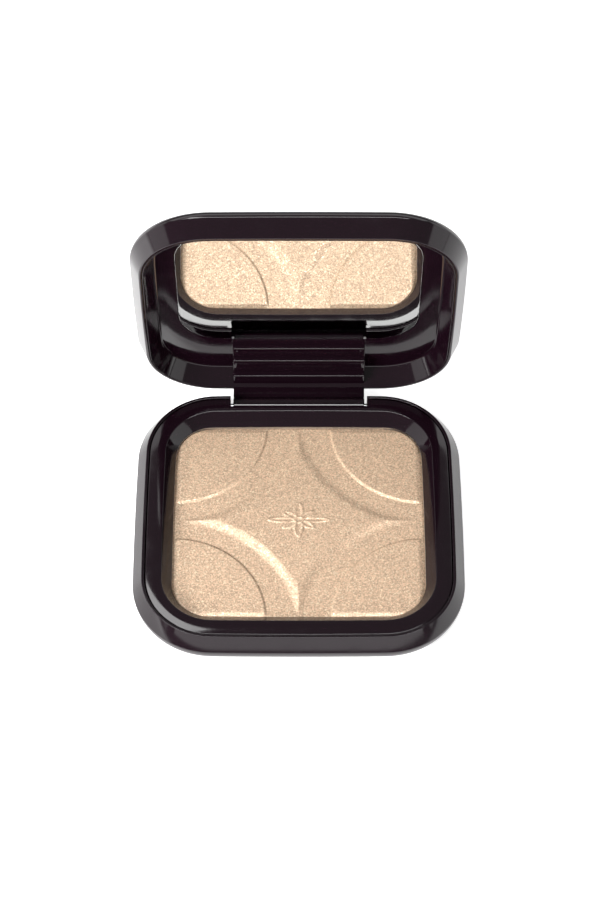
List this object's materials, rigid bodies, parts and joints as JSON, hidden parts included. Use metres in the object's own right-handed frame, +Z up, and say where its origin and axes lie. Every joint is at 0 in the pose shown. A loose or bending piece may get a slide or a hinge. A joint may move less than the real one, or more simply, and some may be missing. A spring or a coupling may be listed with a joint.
{
  "type": "powder compact",
  "caption": "Rounded-square clamshell powder compact with a hinged mirror lid, glossy dark case and a pressed champagne powder pan.",
  "frame": {"origin": "middle of the underside", "axes": "+Z up out of the base, +Y towards the hinge, X along the hinge"},
  "size_m": [0.0818, 0.0876, 0.0796],
  "materials": {
    "case_plastic": "high-gloss moulded plastic, near-black aubergine",
    "powder": "pressed powder, satin, with fine champagne glitter",
    "pan_metal": "pressed tinplate, satin",
    "mirror_glass": "silvered glass with ground edges",
    "pin_steel": "drawn steel wire",
    "magnet": "nickel plated",
    "adhesive": "foam adhesive",
    "label_film": "blank satin film"
  },
  "bodies": {
    "base": {"base_shell": "case_plastic", "base_frame": "case_plastic", "pan_adhesive": "adhesive", "powder_pan": "pan_metal", "powder_cake": "powder", "base_label": "label_film", "base_magnets": "magnet", "hinge_pins": "pin_steel"},
    "lid": {"lid_shell": "case_plastic", "lid_frame": "case_plastic", "lid_magnets": "magnet", "mirror": "mirror_glass", "mirror_tape": "adhesive"}
  },
  "joints": [
    {"name": "lid_hinge", "type": "hinge", "parent": "base", "child": "lid", "pos_m": [0, 0.0366, 0.0036], "axis": [-1, 0, 0], "range_deg": [-81.5, 14.5]}
  ]
}
